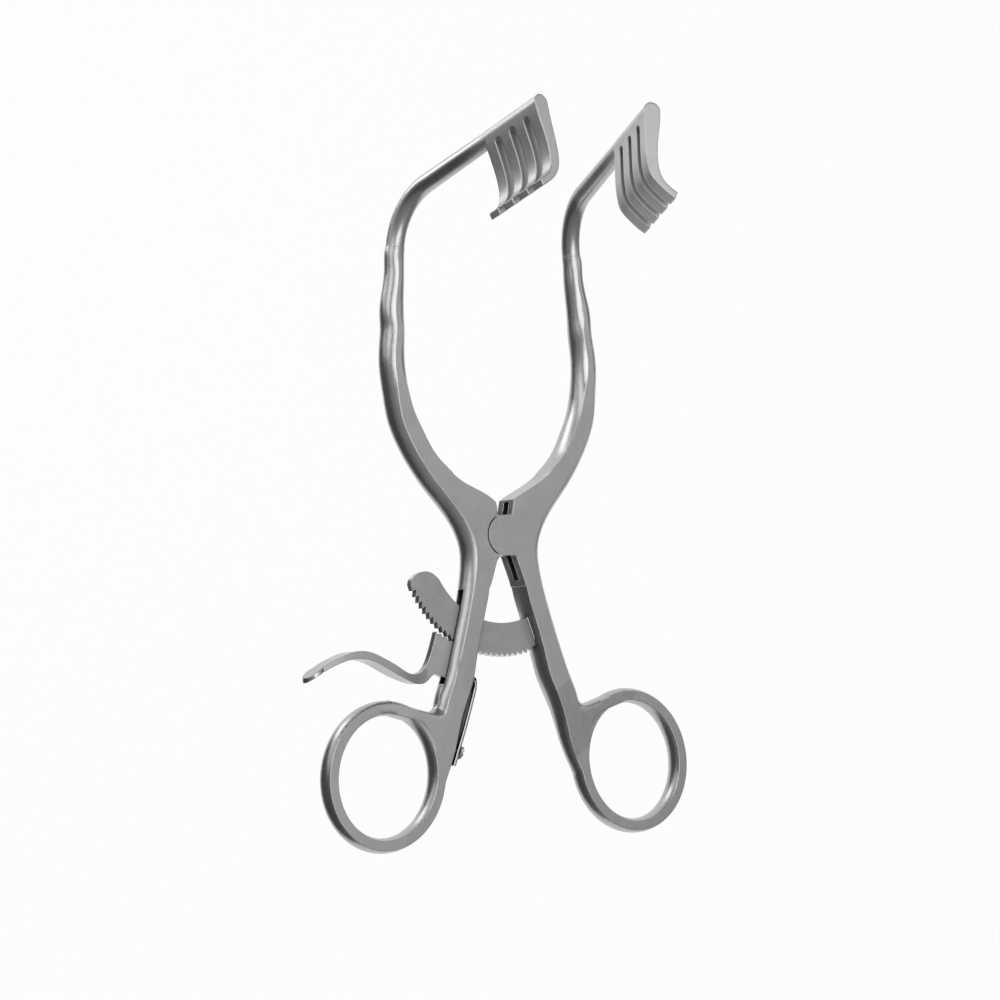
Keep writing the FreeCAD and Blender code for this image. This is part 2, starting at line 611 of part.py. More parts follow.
def main():
    os.makedirs("parts", exist_ok=True)
    for name, shape in build().items():
        shape.exportStep("parts/" + name + ".step")
        box = shape.BoundBox
        print(name, "solids", len(shape.Solids), "valid", shape.isValid(), "volume", round(shape.Volume, 1),
              "x", round(box.XMin, 1), round(box.XMax, 1), "y", round(box.YMin, 1), round(box.YMax, 1),
              "z", round(box.ZMin, 2), round(box.ZMax, 2))


main()
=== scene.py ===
"""Looks of a self retaining retractor in satin and polished steel, on a pale floor."""

import logging
import math
import random
from dataclasses import dataclass
from enum import Enum

import bmesh
import bpy
from mathutils import Matrix, Vector


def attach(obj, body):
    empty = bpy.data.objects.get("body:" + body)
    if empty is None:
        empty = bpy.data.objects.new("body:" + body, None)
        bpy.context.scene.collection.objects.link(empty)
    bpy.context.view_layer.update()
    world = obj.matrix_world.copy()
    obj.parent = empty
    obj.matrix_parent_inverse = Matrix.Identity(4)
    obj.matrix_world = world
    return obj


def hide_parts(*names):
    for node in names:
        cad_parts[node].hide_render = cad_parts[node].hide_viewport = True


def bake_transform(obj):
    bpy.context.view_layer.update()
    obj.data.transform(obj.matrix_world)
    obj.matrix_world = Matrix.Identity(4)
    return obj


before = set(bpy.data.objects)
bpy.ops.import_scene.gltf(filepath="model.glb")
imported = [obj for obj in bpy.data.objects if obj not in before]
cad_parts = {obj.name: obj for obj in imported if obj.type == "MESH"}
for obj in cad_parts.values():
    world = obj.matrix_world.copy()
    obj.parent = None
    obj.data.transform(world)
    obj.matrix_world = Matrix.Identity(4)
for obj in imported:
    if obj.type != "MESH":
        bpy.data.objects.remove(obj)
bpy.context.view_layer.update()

MM = 0.001
MIDDLE = 3.25  # height of the handles' middle plane, in millimetres
SAME_PLACE = 1e-7  # corners nearer to each other than this many metres are merged

Socket = bpy.types.NodeSocket
Triple = tuple[float, float, float]
Pair = tuple[float, float]

log = logging.getLogger("retractor")


class Grain(Enum):
    """Direction in which a steel surface was rubbed down, as stretches along x, y and z."""

    ALONG_BRANCH = (900.0, 70.0, 900.0)
    ACROSS_RACK = (140.0, 800.0, 800.0)
    ALL_OVER = (1100.0, 1100.0, 1100.0)


class Side(Enum):
    """The two halves of the instrument, seen from the front face."""

    LEFT = "left"
    RIGHT = "right"


class Mix(Enum):
    """What a Mix node blends: its data type, its two inputs and its output."""

    DIRECTION = ("VECTOR", 4, 5, 1)
    COLOR = ("RGBA", 6, 7, 2)


def millimetres(*values: float) -> Vector:
    """Turn a place in millimetres into metres."""
    return Vector(values) * MM


@dataclass(frozen=True)
class FlushPin:
    """A pin ground flush with the faces, whose edge can't be made out; sizes in millimetres."""

    x: float
    y: float
    radius: float


JOINT_RIVET = FlushPin(0.0, 0.0, 2.0)
UPPER_RACK_PIN = FlushPin(10.22, -21.72, 0.8)
LOWER_RACK_PIN = FlushPin(11.75, -24.97, 0.8)
LEVER_PIN = FlushPin(-15.2, -32.4, 1.0)


@dataclass(frozen=True)
class BlendedSeam:
    """Middle of a rod where two stretches of the forging were polished into one; millimetres."""

    x: float
    y: float
    z: float
    radius: float = 2.5
    fade: float = 1.1


LEFT_SEAMS = (
    BlendedSeam(-27.12, 71.76, 3.25),
    BlendedSeam(-36.9, -40.3, 5.2, radius=1.8),
    BlendedSeam(-25.8, -47.3, 5.7, radius=3.4, fade=1.4),
)
RIGHT_SEAMS = (
    BlendedSeam(27.68, 71.23, 3.25),
    BlendedSeam(24.4, -43.7, 5.8, radius=2.2),
)


@dataclass(frozen=True)
class Pattern:
    """A noise: its repeats per metre, or per unit of its vector, and its octaves of detail."""

    scale: float
    detail: float


CLOUDS = Pattern(70.0, 4.0)
PATCHES = Pattern(330.0, 3.0)
SPECKS = Pattern(600.0, 2.0)
RUBBING_LINES = Pattern(2.6, 4.0)


@dataclass(frozen=True)
class SteelFinish:
    """Stainless steel, satin on its ground flats and smoother on its rounded walls.

    Of two fields named from and full, an effect starts at the first and is complete at the second.
    """

    name: str
    flat_color: Triple = (0.41, 0.41, 0.41)
    wall_color: Triple = (0.46, 0.46, 0.46)
    flat_roughness: float = 0.40
    wall_roughness: float = 0.29
    flat_from: float = 0.955
    flat_full: float = 0.99
    grain: Grain = Grain.ALONG_BRANCH
    grain_depth: float = 0.012
    grain_height: float = 0.2 * MM
    grain_tone: float = 0.22
    grain_roughness: float = 0.10
    speck_roughness: float = 0.06
    mottling: float = 0.26
    edge_radius: float = 0.34 * MM
    edge_samples: int = 6
    # Corners brightened in the base colour: partly rubbed steel, partly painted highlight along the
    # folds.
    edge_wear_and_highlight: float = 0.14
    edge_roughness: float = -0.08
    wear_highlight_from: float = 0.985
    wear_highlight_full: float = 0.85
    # Painted shade: ambient occlusion darkens the base colour in crevices and between parts.
    crevice_shade_reach: float = 2.4 * MM
    crevice_shade_tone: float = 0.12
    crevice_shade_depth: float = 1.5
    crevice_shade_samples: int = 6
    flush_pins: tuple[FlushPin, ...] = ()
    pin_margin: float = 0.4
    pin_fade: float = 1.3
    seams: tuple[BlendedSeam, ...] = ()
    seam_softness: float = 1.6 * MM
    seam_samples: int = 10
    blasted_from: float = 27.0 * MM
    blasted_full: float = 37.0 * MM
    blasted_tone: float = 0.32
    blasted_roughness: float = 0.20
    blasted_softness: float = 0.6 * MM
    # Strength of the painted crevice shade on the claws.
    blasted_crevice_shade: float = 1.2

    def material(self) -> bpy.types.Material:
        """Build the material once.

        Returns:
            The finished material.
        """
        steel = bpy.data.materials.get(self.name)
        if steel is not None:
            return steel
        steel = bpy.data.materials.new(self.name)
        steel.use_nodes = True
        nodes = NodeBench(steel)
        surface = nodes.only("BSDF_PRINCIPLED")
        flat = self._flat_mask(nodes)
        blasted = self._blasted_mask(nodes)
        soft = self._soft_direction(nodes, blasted)
        wear_and_highlight = self._rubbed_and_highlit_edges(nodes, soft)
        grain = self._grain(nodes)
        color = nodes.mix(Mix.COLOR, flat, (*self.wall_color, 1.0), (*self.flat_color, 1.0))
        # The tone darkens the base colour with painted crevice shade and brightens corners with wear
        # and painted highlight.
        tone = self._tone(nodes, grain, wear_and_highlight, blasted)
        nodes.link(nodes.scale_color(color, tone), surface.inputs["Base Color"])
        rough = self._roughness(nodes, flat, grain, wear_and_highlight)
        rough = nodes.math("MULTIPLY_ADD", blasted, self.blasted_roughness, rough)
        nodes.link(rough, surface.inputs["Roughness"])
        bump = nodes.add("ShaderNodeBump")
        bump.inputs["Strength"].default_value = self.grain_depth
        bump.inputs["Distance"].default_value = self.grain_height
        nodes.link(grain, bump.inputs["Height"])
        nodes.link(soft, bump.inputs["Normal"])
        nodes.link(bump.outputs["Normal"], surface.inputs["Normal"])
        surface.inputs["Metallic"].default_value = 1.0
        return steel

    def _flat_mask(self, nodes: "NodeBench") -> Socket:
        """Return 1 on the ground flats and 0 on the rounded walls."""
        upright = nodes.math("ABSOLUTE", nodes.upward_part(nodes.place().outputs["Normal"]))
        return nodes.ease(upright, self.flat_from, self.flat_full)

    def _blasted_mask(self, nodes: "NodeBench") -> Socket:
        """Return 1 on the claws, which are blasted to a paler, duller grey, and 0 below them."""
        height = nodes.upward_part(nodes.place().outputs["Object"])
        return nodes.ease(height, self.blasted_from, self.blasted_full)

    def _soft_direction(self, nodes: "NodeBench", blasted: Socket) -> Socket:
        """Soften the corners and seams of the surface, and leave it plain at the flush pins.

        Args:
            nodes: The material's nodes.
            blasted: Share of the blasted finish.

        Returns:
            The direction that the surface seems to face.
        """
        direction = nodes.mix(
            Mix.DIRECTION, blasted, nodes.rounded(self.edge_radius, self.edge_samples),
            nodes.rounded(self.blasted_softness, self.edge_samples),
        )
        for seam in self.seams:
            far = nodes.distance(nodes.place().outputs["Object"], (seam.x, seam.y, seam.z))
            outer = (seam.radius + 2 * seam.fade) * MM
            near = nodes.ease(far, outer, (seam.radius + seam.fade) * MM)
            polished = nodes.rounded(self.seam_softness, self.seam_samples)
            direction = nodes.mix(Mix.DIRECTION, near, direction, polished)
        for pin in self.flush_pins:
            far = nodes.distance(nodes.place_in_plan(), (pin.x, pin.y, 0.0))
            reach = (pin.radius + self.pin_margin) * MM
            flush = nodes.ease(far, reach * self.pin_fade, reach)
            plain = nodes.surface_facts().outputs["Normal"]
            direction = nodes.mix(Mix.DIRECTION, flush, direction, plain)
        return direction

    def _rubbed_and_highlit_edges(self, nodes: "NodeBench", soft: Socket) -> Socket:
        """Return a value that rises along the corners, which brightens them as partly rubbed steel and
        partly painted highlight.
        """
        meet = nodes.vector_math("DOT_PRODUCT", soft, nodes.surface_facts().outputs["Normal"])
        return nodes.ease(meet.outputs["Value"], self.wear_highlight_from, self.wear_highlight_full)

    def _grain(self, nodes: "NodeBench") -> Socket:
        """Draw fine rubbing lines along the grain.

        Args:
            nodes: The material's nodes.

        Returns:
            The height of the lines.
        """
        stretch = nodes.add("ShaderNodeMapping")
        stretch.inputs["Scale"].default_value = self.grain.value
        nodes.link(nodes.place().outputs["Object"], stretch.inputs["Vector"])
        return nodes.noise(RUBBING_LINES, stretch.outputs["Vector"])

    def _tone(self, nodes: "NodeBench", grain: Socket, wear_and_highlight: Socket, blasted: Socket) -> Socket:
        """Make the steel cloudy and streaked, bright at corners from rubbing and painted highlight,
        and dark in crevices from painted shade.

        Args:
            nodes: The material's nodes.
            grain: Height of the rubbing lines.
            wear_and_highlight: Share of the wear and painted highlight along corners.
            blasted: Share of the blasted finish.

        Returns:
            How light the steel is, about 1 on a plain surface.
        """
        clouds, patches = nodes.noise(CLOUDS), nodes.noise(PATCHES)
        # Both noises are a half on average, so this level keeps the mean tone at 1.
        level = 1.0 - self.mottling * 0.75
        tone = nodes.math("MULTIPLY_ADD", clouds, self.mottling, level)
        tone = nodes.math("MULTIPLY_ADD", patches, self.mottling / 2, tone)
        tone = nodes.math("ADD", tone, nodes.swing(grain, self.grain_tone))
        # Corners brightened in the base colour: partly rubbed steel, partly painted highlight.
        tone = nodes.math("MULTIPLY_ADD", wear_and_highlight, self.edge_wear_and_highlight, tone)
        tone = nodes.math("MULTIPLY_ADD", blasted, self.blasted_tone, tone)
        # Painted shade: ambient occlusion darkens the base colour in crevices and between parts.
        occlusion_shade = nodes.add("ShaderNodeAmbientOcclusion")
        occlusion_shade.samples = self.crevice_shade_samples
        occlusion_shade.inputs["Distance"].default_value = self.crevice_shade_reach
        extra = self.blasted_crevice_shade - self.crevice_shade_depth
        depth = nodes.math("MULTIPLY_ADD", blasted, extra, self.crevice_shade_depth)
        open_air = nodes.math("POWER", occlusion_shade.outputs["AO"], depth)
        shade = nodes.math("MULTIPLY_ADD", open_air, 1.0 - self.crevice_shade_tone, self.crevice_shade_tone)
        return nodes.math("MULTIPLY", tone, shade)

    def _roughness(self, nodes: "NodeBench", flat: Socket, grain: Socket, wear_and_highlight: Socket) -> Socket:
        """Make the flats satin, the walls smoother, with fine specks and rubbed corners.

        Args:
            nodes: The material's nodes.
            flat: Share of the ground flats.
            grain: Height of the rubbing lines.
            wear_and_highlight: Share of the wear and painted highlight along corners.

        Returns:
            The roughness.
        """
        spread = self.flat_roughness - self.wall_roughness
        rough = nodes.math("MULTIPLY_ADD", flat, spread, self.wall_roughness)
        rough = nodes.math("ADD", rough, nodes.swing(grain, self.grain_roughness))
        rough = nodes.math("ADD", rough, nodes.swing(nodes.noise(SPECKS), self.speck_roughness))
        return nodes.math("MULTIPLY_ADD", wear_and_highlight, self.edge_roughness, rough)


class NodeBench:
    """Short calls for laying out the nodes of one material or world."""

    def __init__(self, owner: bpy.types.Material | bpy.types.World) -> None:
        """Start on a material or world that has its default nodes."""
        self.tree = owner.node_tree
        self._shared: dict[str, bpy.types.Node] = {}

    def add(self, kind: str) -> bpy.types.Node:
        """Add a node of this kind."""
        return self.tree.nodes.new(kind)

    def only(self, kind: str) -> bpy.types.Node:
        """Return the one node of this type that is there from the start."""
        return next(node for node in self.tree.nodes if node.type == kind)

    def link(self, source: Socket, target: Socket) -> None:
        """Join two sockets."""
        self.tree.links.new(source, target)

    def feed(self, value: Socket | float | tuple[float, ...] | Vector, target: Socket) -> None:
        """Give a socket its value.

        Args:
            value: A socket to link from, or plain numbers.
            target: The socket that gets it.
        """
        if isinstance(value, Socket):
            self.link(value, target)
        else:
            target.default_value = value

    def shared(self, kind: str) -> bpy.types.Node:
        """Keep one node of a kind for all who ask.

        Args:
            kind: Kind of the node.

        Returns:
            The node, added the first time.
        """
        if kind not in self._shared:
            self._shared[kind] = self.add(kind)
        return self._shared[kind]

    def place(self) -> bpy.types.Node:
        """Return the node that gives places and directions on the piece itself."""
        return self.shared("ShaderNodeTexCoord")

    def surface_facts(self) -> bpy.types.Node:
        """Return the node that gives the surface's own direction."""
        return self.shared("ShaderNodeNewGeometry")

    def place_in_plan(self) -> Socket:
        """Return the place on the piece with its height taken away."""
        flatten = self.vector_math("MULTIPLY", self.place().outputs["Object"], (1.0, 1.0, 0.0))
        return flatten.outputs["Vector"]

    def upward_part(self, vector: Socket) -> Socket:
        """Take the z part of a place or direction.

        Args:
            vector: The place or direction.

        Returns:
            Its z part.
        """
        split = self.add("ShaderNodeSeparateXYZ")
        self.link(vector, split.inputs[0])
        return split.outputs["Z"]

    def rounded(self, radius: float, samples: int) -> Socket:
        """Round every corner for the light, and not in the shape.

        Args:
            radius: Radius of the rounding, in metres.
            samples: Rays that look for corners.

        Returns:
            The direction that the surface then seems to face.
        """
        soft = self.add("ShaderNodeBevel")
        soft.samples = samples
        soft.inputs["Radius"].default_value = radius
        return soft.outputs["Normal"]

    def ease(self, value: Socket, zero: float, one: float) -> Socket:
        """Turn a value smoothly into a share.

        Args:
            value: The value.
            zero: Where the share is 0.
            one: Where the share is 1.

        Returns:
            The share.
        """
        ease = self.add("ShaderNodeMapRange")
        ease.interpolation_type = "SMOOTHSTEP"
        ease.inputs["From Min"].default_value = zero
        ease.inputs["From Max"].default_value = one
        self.link(value, ease.inputs["Value"])
        return ease.outputs["Result"]

    def distance(self, place: Socket, target: Triple) -> Socket:
        """Return how far a place is from a target given in millimetres."""
        return self.vector_math("DISTANCE", place, millimetres(*target)).outputs["Value"]

    def swing(self, noise: Socket, weight: float) -> Socket:
        """Return a noise, which is a half on average, as a swing of this weight about zero."""
        return self.math("MULTIPLY_ADD", noise, weight, -weight / 2)

    def mix(
        self,
        kind: Mix,
        factor: Socket,
        low: Socket | tuple[float, ...],
        high: Socket | tuple[float, ...],
    ) -> Socket:
        """Blend two directions or two colours.

        Args:
            kind: What is blended.
            factor: Share of the second one.
            low: The first one, taken where factor is 0.
            high: The second one, taken where factor is 1.

        Returns:
            The blend.
        """
        data_type, low_input, high_input, output = kind.value
        mix = self.add("ShaderNodeMix")
        mix.data_type = data_type
        self.link(factor, mix.inputs[0])
        self.feed(low, mix.inputs[low_input])
        self.feed(high, mix.inputs[high_input])
        return mix.outputs[output]

    def noise(self, pattern: Pattern, vector: Socket | None = None) -> Socket:
        """Add a noise pattern.

        Args:
            pattern: Its scale and detail.
            vector: Where to read the pattern; the piece's own place if left out.

        Returns:
            The pattern's value.
        """
        noise = self.add("ShaderNodeTexNoise")
        noise.inputs["Scale"].default_value = pattern.scale
        noise.inputs["Detail"].default_value = pattern.detail
        self.link(vector or self.place().outputs["Object"], noise.inputs["Vector"])
        return noise.outputs["Fac"]

    def math(
        self, operation: str, first: Socket, second: Socket | float = 0.0, third: Socket | float = 0.0
    ) -> Socket:
        """Work out one sum from sockets and numbers.

        Args:
            operation: Name of the sum.
            first: Its first socket.
            second: Its second socket or number.
            third: Its third socket or number, where the sum has one.

        Returns:
            The result.
        """
        node = self.add("ShaderNodeMath")
        node.operation = operation
        for index, value in enumerate((first, second, third)):
            self.feed(value, node.inputs[index])
        return node.outputs[0]

    def vector_math(
        self, operation: str, first: Socket, second: Socket | Triple | Vector
    ) -> bpy.types.Node:
        """Work out one sum from two vectors.

        Args:
            operation: Name of the sum.
            first: Its first vector.
            second: Its second vector.

        Returns:
            The node that holds the sum.
        """
        node = self.add("ShaderNodeVectorMath")
        node.operation = operation
        self.feed(first, node.inputs[0])
        self.feed(second, node.inputs[1])
        return node

    def scale_color(self, color: Socket, factor: Socket) -> Socket:
        """Multiply a colour by a number.

        Args:
            color: The colour.
            factor: The number.

        Returns:
            The scaled colour.
        """
        scale = self.add("ShaderNodeVectorMath")
        scale.operation = "SCALE"
        self.link(color, scale.inputs[0])
        self.link(factor, scale.inputs["Scale"])
        return scale.outputs["Vector"]


LEFT_FORGING = SteelFinish(
    "left_forging",
    flush_pins=(LEVER_PIN,),
    seams=LEFT_SEAMS,
    blasted_crevice_shade=0.5,
)
RIGHT_FORGING = SteelFinish(
    "right_forging",
    flush_pins=(JOINT_RIVET, UPPER_RACK_PIN, LOWER_RACK_PIN),
    seams=RIGHT_SEAMS,
)
PIN_STEEL = SteelFinish(
    "pin_steel",
    flush_pins=(JOINT_RIVET, UPPER_RACK_PIN, LOWER_RACK_PIN, LEVER_PIN),
    crevice_shade_tone=0.9,
)
RACK_STEEL = SteelFinish(
    "rack_steel",
    flat_color=(0.36, 0.36, 0.36),
    # The walls' pale grey is partly painted highlight, which makes the tooth flanks show as bright
    # stripes; the rest is their polished finish.
    wall_color=(0.66, 0.66, 0.66),
    flat_roughness=0.45,
    wall_roughness=0.22,
    grain=Grain.ACROSS_RACK,
    edge_radius=0.05 * MM,
    crevice_shade_tone=0.3,
)
LEVER_STEEL = SteelFinish(
    "lever_steel",
    flat_color=(0.42, 0.42, 0.42),
    wall_color=(0.42, 0.42, 0.42),
    flat_roughness=0.42,
    wall_roughness=0.24,
    grain=Grain.ALL_OVER,
    edge_radius=0.3 * MM,
)
SPRING_STEEL = SteelFinish(
    "spring_steel",
    flat_color=(0.5, 0.5, 0.5),
    wall_color=(0.52, 0.52, 0.52),
    flat_roughness=0.24,
    wall_roughness=0.2,
    grain_depth=0.03,
    edge_radius=0.1 * MM,
)
BRAZE_METAL = SteelFinish(
    "braze_metal",
    flat_color=(0.62, 0.62, 0.61),
    wall_color=(0.62, 0.62, 0.61),
    flat_roughness=0.22,
    wall_roughness=0.22,
    grain=Grain.ALL_OVER,
    grain_depth=0.12,
    edge_radius=0.05 * MM,
    crevice_shade_tone=0.8,
)


def dress_node(node: str, finish: SteelFinish) -> None:
    """Give a node of the frame its finish.

    Args:
        node: Name of the node.
        finish: What its surface looks like.
    """
    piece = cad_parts[node]
    piece.data.materials.clear()
    piece.data.materials.append(finish.material())
    log.info("%s keeps its shape, finish %s", node, finish.name)


def object_from(mesh: bmesh.types.BMesh, name: str, material: bpy.types.Material) -> bpy.types.Object:
    """Turn a mesh in metres into an object at the origin.

    Args:
        mesh: The shape; it is freed.
        name: Name of the object.
        material: What its surface looks like.

    Returns:
        The new object, linked to the scene.
    """
    data = bpy.data.meshes.new(name)
    mesh.to_mesh(data)
    mesh.free()
    data.materials.append(material)
    made = bpy.data.objects.new(name, data)
    bpy.context.scene.collection.objects.link(made)
    return made


def shade_smooth(mesh: bmesh.types.BMesh, smooth_angle: float) -> None:
    """Merge what lies in one place, turn the faces outwards and shade the gentle edges smooth.

    Args:
        mesh: The shape.
        smooth_angle: Edges flatter than this many degrees are shaded smooth.
    """
    bmesh.ops.remove_doubles(mesh, verts=mesh.verts, dist=SAME_PLACE)
    bmesh.ops.recalc_face_normals(mesh, faces=mesh.faces)
    limit = math.radians(smooth_angle)
    for face in mesh.faces:
        face.smooth = True
    for edge in mesh.edges:
        edge.smooth = len(edge.link_faces) == 2 and edge.calc_face_angle(0.0) < limit


def through(points: list[Vector], steps: int) -> list[Vector]:
    """Follow a smooth line through points.

    Args:
        points: Places that the line passes.
        steps: Short runs between each two of them.

    Returns:
        Places along the line, ends included.
    """
    line = []
    for index in range(len(points) - 1):
        before = points[max(index - 1, 0)]
        start, end = points[index], points[index + 1]
        after = points[min(index + 2, len(points) - 1)]
        for step in range(steps):
            t = step / steps
            pull = (end - before) * 0.5 * (t**3 - 2 * t**2 + t) + (after - start) * 0.5 * (t**3 - t**2)
            line.append(start * (2 * t**3 - 3 * t**2 + 1) + end * (3 * t**2 - 2 * t**3) + pull)
    return line + [points[-1]]


@dataclass
class Branch:
    """One forged half: ring, shank, arm, bend and clawed blade."""

    side: Side
    finish: SteelFinish

    def dress(self) -> None:
        """Give the forging its satin and polished steel."""
        dress_node(f"{self.side.value}_branch", self.finish)


@dataclass
class LapJoint:
    """The rivet that the two halves turn on, ground flush with the faces."""

    finish: SteelFinish = PIN_STEEL

    def dress(self) -> None:
        """Give the rivet the steel of the forgings, so that it vanishes in the faces."""
        dress_node("joint_rivet", self.finish)


@dataclass
class RatchetRack:
    """Toothed arc, its hidden pins and the bead that seals it to the right shank.

    Places and sizes are in millimetres, the angle in degrees.
    """

    finish: SteelFinish = RACK_STEEL
    pin_finish: SteelFinish = PIN_STEEL
    bead_finish: SteelFinish = BRAZE_METAL
    seam_top: Pair = (7.25, -20.75)
    seam_foot: Pair = (10.15, -28.95)
    half_thickness: float = 0.8
    bead_radius: float = 0.17
    bead_swell: Pair = (0.86, 1.16)
    bead_steps: int = 14
    bead_segments: int = 12
    smooth_angle: float = 60.0
    seed: int = 11

    def dress(self) -> None:
        """Give the rack and its pins their steel."""
        dress_node("ratchet_rack", self.finish)
        dress_node("rack_pins", self.pin_finish)

    def build_bead(self) -> bpy.types.Object:
        """Run a small uneven bead along the rack's front face where it enters the shank.

        Returns:
            The bead, riding with the right half.
        """
        path = self._bead_path()
        mesh = bmesh.new()
        along = (path[-1] - path[0]).normalized()
        turn = along.to_track_quat("Z", "Y").to_matrix().to_4x4()
        ring = bmesh.ops.create_circle(
            mesh, cap_ends=True, segments=self.bead_segments, radius=self.bead_radius * MM,
            matrix=Matrix.Translation(path[0]) @ turn,
        )
        rng = random.Random(self.seed)
        cap = ring["verts"][0].link_faces[0]
        for before, place in zip(path[:-1], path[1:]):
            cap = bmesh.ops.extrude_discrete_faces(mesh, faces=[cap])["faces"][0]
            centre = cap.calc_center_median()
            radius = max((vert.co - centre).length for vert in cap.verts)
            swell = rng.uniform(*self.bead_swell) * self.bead_radius * MM
            bmesh.ops.translate(mesh, verts=cap.verts, vec=place - before)
            bmesh.ops.scale(
                mesh, verts=cap.verts, vec=(swell / radius,) * 3, space=Matrix.Translation(-place)
            )
        shade_smooth(mesh, self.smooth_angle)
        bead = object_from(mesh, "seam_bead", self.bead_finish.material())
        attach(bead, "right_body")
        log.info("seam_bead has %d faces", len(bead.data.polygons))
        return bead

    def _bead_path(self) -> list[Vector]:
        """Lay the line of the bead on the rack's front face.

        Returns:
            Places along the line, from the top down.
        """
        (top_x, top_y), (foot_x, foot_y) = self.seam_top, self.seam_foot
        front = MIDDLE + self.half_thickness
        return through([
            millimetres(top_x, top_y, front),
            millimetres((foot_x + top_x) / 2, (foot_y + top_y) / 2, front),
            millimetres(foot_x, foot_y, front),
        ], self.bead_steps)


@dataclass
class ReleaseLever:
    """Toothed plate with its thumb strip, and the pin it turns on."""

    finish: SteelFinish = LEVER_STEEL
    pin_finish: SteelFinish = PIN_STEEL

    def dress(self) -> None:
        """Give the lever and its pin their steel."""
        dress_node("release_lever", self.finish)
        dress_node("lever_pin", self.pin_finish)


@dataclass
class LeafSpring:
    """Thin leaf on the inner wall of the left shank, held by a slotted screw.

    Places and sizes are in millimetres, angles in degrees.
    """

    finish: SteelFinish = SPRING_STEEL
    thickness: float = 0.8
    width: float = 3.0
    tip_width: float = 1.6
    narrow_from: float = 20.6
    narrowing: float = 0.9
    edge: float = 0.12
    edge_segments: int = 2
    sharp_angle: float = 50.0
    smooth_angle: float = 35.0
    route_steps: int = 8
    route: tuple[Pair, ...] = (
        (-17.4, -56.8), (-15.95, -53.3), (-13.75, -48.2), (-11.75, -43.1), (-10.1, -38.6),
        (-9.3, -36.2), (-9.5, -35.2), (-10.2, -34.9),
    )

    def dress(self) -> None:
        """Give the screw its polished steel."""
        dress_node("spring_screw", self.finish)

    def build(self) -> bpy.types.Object:
        """Roll the leaf out along its route.

        Returns:
            The leaf, in place of its plain solid.
        """
        mesh = self._rolled_strip()
        bmesh.ops.solidify(mesh, geom=mesh.faces[:], thickness=self.thickness * MM)
        limit = math.radians(self.sharp_angle)
        sharp = [item for item in mesh.edges if item.calc_face_angle(0.0) > limit]
        bmesh.ops.bevel(
            mesh, geom=sharp, offset=self.edge * MM, segments=self.edge_segments, profile=0.5,
            affect="EDGES", material=-1,
        )
        shade_smooth(mesh, self.smooth_angle)
        leaf = object_from(mesh, "leaf_strip", self.finish.material())
        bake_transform(leaf)
        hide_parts("leaf_spring")
        log.info("leaf_strip has %d faces", len(leaf.data.polygons))
        return leaf

    def _rolled_strip(self) -> bmesh.types.BMesh:
        """Draw a thin strip along the route, narrowed towards its hooked tip.

        Returns:
            The strip, facing the middle of the instrument.
        """
        path = through([millimetres(x, y, MIDDLE) for x, y in self.route], self.route_steps)
        mesh = bmesh.new()
        half = self.width / 2 * MM
        edge = mesh.edges.new([mesh.verts.new(path[0] + Vector((0, 0, z))) for z in (-half, half)])
        rolled = 0.0
        for before, place in zip(path[:-1], path[1:]):
            grown = bmesh.ops.extrude_edge_only(mesh, edges=[edge])["geom"]
            verts = [item for item in grown if isinstance(item, bmesh.types.BMVert)]
            edge = next(item for item in grown if isinstance(item, bmesh.types.BMEdge))
            bmesh.ops.translate(mesh, verts=verts, vec=place - before)
            rolled += (place - before).length
            if rolled > self.narrow_from * MM:
                side = abs(verts[0].co.z - MIDDLE * MM) / half
                share = max(self.tip_width / self.width, self.narrowing * side) / side
                bmesh.ops.scale(
                    mesh, verts=verts, vec=(1, 1, share),
                    space=Matrix.Translation((0, 0, -MIDDLE * MM)),
                )
        bmesh.ops.recalc_face_normals(mesh, faces=mesh.faces)
        faces = list(mesh.faces)
        if faces[len(faces) // 2].normal.x < 0:
            bmesh.ops.reverse_faces(mesh, faces=faces)
        return mesh


@dataclass(frozen=True)
class Lamp:
    """Soft rectangular lamp that points at the joint; metres and watts."""

    name: str
    place: Triple
    size: Pair
    power: float

    def hang(self) -> None:
        """Hang the lamp, unseen by the camera."""
        data = bpy.data.lights.new(self.name, "AREA")
        data.shape = "RECTANGLE"
        data.size, data.size_y = self.size
        data.energy = self.power
        lamp = bpy.data.objects.new(self.name, data)
        lamp.location = self.place
        lamp.rotation_euler = Vector(self.place).to_track_quat("Z", "Y").to_euler()
        lamp.visible_camera = False
        bpy.context.scene.collection.objects.link(lamp)


@dataclass
class PhotoCamera:
    """The photograph's camera; angles in radians, nearest in metres, the rest in millimetres."""

    turn: float = math.radians(36.0)
    tilt: float = math.radians(-5.15)
    roll: float = math.radians(3.55)
    distance: float = 860.25
    aim: Triple = (-0.92, -0.37, 6.5)
    shift_right: float = -0.675
    shift_up: float = 9.125
    lens: float = 123.876
    sensor: float = 36.0
    nearest: float = 0.01

    def build(self) -> None:
        """Stand the camera where the photograph was taken."""
        toward = Vector((
            -math.sin(self.turn) * math.cos(self.tilt), math.sin(self.tilt),
            math.cos(self.turn) * math.cos(self.tilt),
        ))
        right = Vector((math.cos(self.turn), 0.0, math.sin(self.turn)))
        axes = Matrix((right, toward.cross(right), toward)) @ Matrix.Rotation(self.roll, 3, "Z")
        data = bpy.data.cameras.new("camera")
        data.sensor_width = self.sensor
        data.lens = self.lens
        data.clip_start = self.nearest
        camera = bpy.data.objects.new("camera", data)
        place = Vector(self.aim) + axes[0] * self.shift_right + axes[1] * self.shift_up
        camera.matrix_world = (
            Matrix.Translation((place + axes[2] * self.distance) * MM) @ axes.transposed().to_4x4()
        )
        bpy.context.scene.collection.objects.link(camera)
        bpy.context.scene.camera = camera


